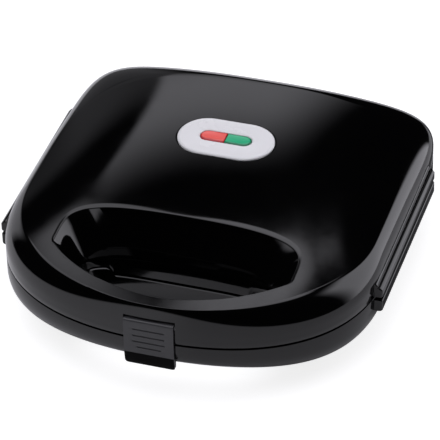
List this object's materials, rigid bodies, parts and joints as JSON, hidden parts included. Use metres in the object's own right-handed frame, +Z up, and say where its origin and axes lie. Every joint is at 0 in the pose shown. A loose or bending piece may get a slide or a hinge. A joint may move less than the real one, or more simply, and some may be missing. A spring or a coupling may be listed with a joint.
{
  "type": "sandwich toaster",
  "caption": "Low rounded sandwich toaster: domed lid hinged at the rear, hand opening through the front, swinging latch clip, oval indicator bezel and ridged triangular cooking plates.",
  "frame": {"origin": "centre of the bounding box in plan, at table height under the feet", "axes": "+X to the right seen from the front, -Y towards the latch and hand opening, +Y towards the rear hinge, +Z up"},
  "size_m": [0.2324, 0.248, 0.079],
  "materials": {
    "black_shell": "gloss black moulding",
    "deck": "satin black heat-resistant plastic",
    "coated_plate": "dark non-stick coating on cast aluminium",
    "element": "dull heating tube",
    "steel": "zinc plated",
    "shield": "plain sheet",
    "ceramic": "pale moulding",
    "rubber": "matt",
    "silver_plate": "silver lacquered",
    "red_lens": "translucent red",
    "green_lens": "translucent green",
    "lamp": "clear glass tube",
    "latch": "satin dark grey"
  },
  "bodies": {
    "base": {"base_shell": "black_shell", "base_deck": "deck", "lower_plate": "coated_plate", "lower_plate_screws": "steel", "lower_element": "element", "lower_clamps": "steel", "lower_clamp_screws": "steel", "lower_shield": "shield", "thermostat": "ceramic", "thermal_fuse": "shield", "terminal_block": "ceramic", "base_deck_screws": "steel", "cord_gland": "rubber", "rubber_feet": "rubber", "hinge_pins": "steel"},
    "lid": {"lid_shell": "black_shell", "lid_deck": "deck", "upper_plate": "coated_plate", "upper_plate_screws": "steel", "upper_element": "element", "upper_clamps": "steel", "upper_clamp_screws": "steel", "upper_shield": "shield", "lid_deck_screws": "steel", "indicator_bezel": "silver_plate", "red_lens": "red_lens", "green_lens": "green_lens", "red_lamp": "lamp", "green_lamp": "lamp", "lamp_holder": "ceramic", "latch_pin": "steel"},
    "latch": {"latch_clip": "latch"}
  },
  "joints": [
    {"name": "lid_hinge", "type": "hinge", "parent": "base", "child": "lid", "pos_m": [0, 0.12005, 0.04], "axis": [-1, 0, 0], "range_deg": [0, 100]},
    {"name": "latch_pivot", "type": "hinge", "parent": "lid", "child": "latch", "pos_m": [0, -0.12025, 0.0506], "axis": [-1, 0, 0], "range_deg": [-4, 75]}
  ]
}
